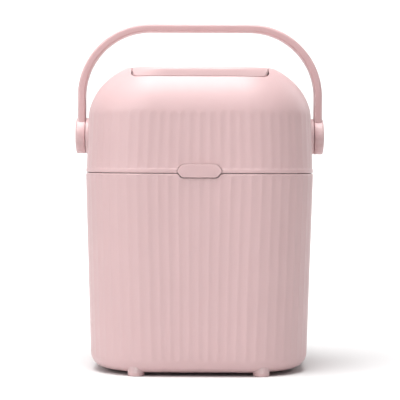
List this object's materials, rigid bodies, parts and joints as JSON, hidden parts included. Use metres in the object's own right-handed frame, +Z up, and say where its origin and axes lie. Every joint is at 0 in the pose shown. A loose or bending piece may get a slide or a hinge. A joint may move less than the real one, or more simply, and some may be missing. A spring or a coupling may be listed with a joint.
{
  "type": "formula dispenser",
  "caption": "Fluted portable milk powder box with a hinged domed lid, a scoop hatch in its top, a front press latch and a swinging bail handle.",
  "frame": {"origin": "on the floor, at the centre of the footprint over the hubs, the latch tab and the rear hinge", "axes": "+Z up along the height, +X to the right seen from the front, -Y towards the front with the latch"},
  "size_m": [0.1492, 0.121, 0.2057],
  "materials": {
    "pink_shell": "satin moulded polypropylene",
    "pink_handle": "satin moulded polypropylene",
    "milky_liner": "milky food-grade polypropylene",
    "clear_scoop": "glossy milky polypropylene",
    "silicone_seal": "matt silicone",
    "soft_foot": "matt soft plastic",
    "steel": "plain stainless steel"
  },
  "bodies": {
    "base": {"body_shell": "pink_shell", "powder_tub": "milky_liner", "leveller_bar": "milky_liner", "foot_front_left": "soft_foot", "foot_front_right": "soft_foot", "foot_rear_left": "soft_foot", "foot_rear_right": "soft_foot", "hinge_pin": "steel"},
    "lid": {"lid_shell": "pink_shell", "lid_liner": "milky_liner", "lid_seal": "silicone_seal", "scoop_tray": "milky_liner", "tray_screws": "steel", "scoop": "clear_scoop", "hatch_pin": "steel", "latch_pin": "steel", "latch_spring": "steel", "pivot_boss_left": "milky_liner", "pivot_boss_right": "milky_liner", "pivot_washer_left": "steel", "pivot_washer_right": "steel", "pivot_screw_left": "steel", "pivot_screw_right": "steel"},
    "hatch": {"hatch_door": "pink_shell", "hatch_seal": "silicone_seal"},
    "latch": {"latch_button": "pink_shell"},
    "handle": {"bail_handle": "pink_handle", "hub_cap_left": "pink_handle", "hub_cap_right": "pink_handle"}
  },
  "joints": [
    {"name": "lid_hinge", "type": "hinge", "parent": "base", "child": "lid", "pos_m": [0, 0.0575, 0.117], "axis": [-1, 0, 0], "range_deg": [0, 100]},
    {"name": "handle_swing", "type": "hinge", "parent": "lid", "child": "handle", "pos_m": [0, -0.003, 0.1388], "axis": [-1, 0, 0], "range_deg": [-100, 95]},
    {"name": "hatch_hinge", "type": "hinge", "parent": "lid", "child": "hatch", "pos_m": [0, -0.013, 0.1766], "axis": [-1, 0, 0], "range_deg": [0, 90]},
    {"name": "latch_press", "type": "hinge", "parent": "lid", "child": "latch", "pos_m": [0, -0.0546, 0.127], "axis": [1, 0, 0], "range_deg": [0, 4], "stiffness_Nm_per_rad": 0.4, "springref_deg": -2.86, "deforming": ["latch_spring"]}
  ]
}
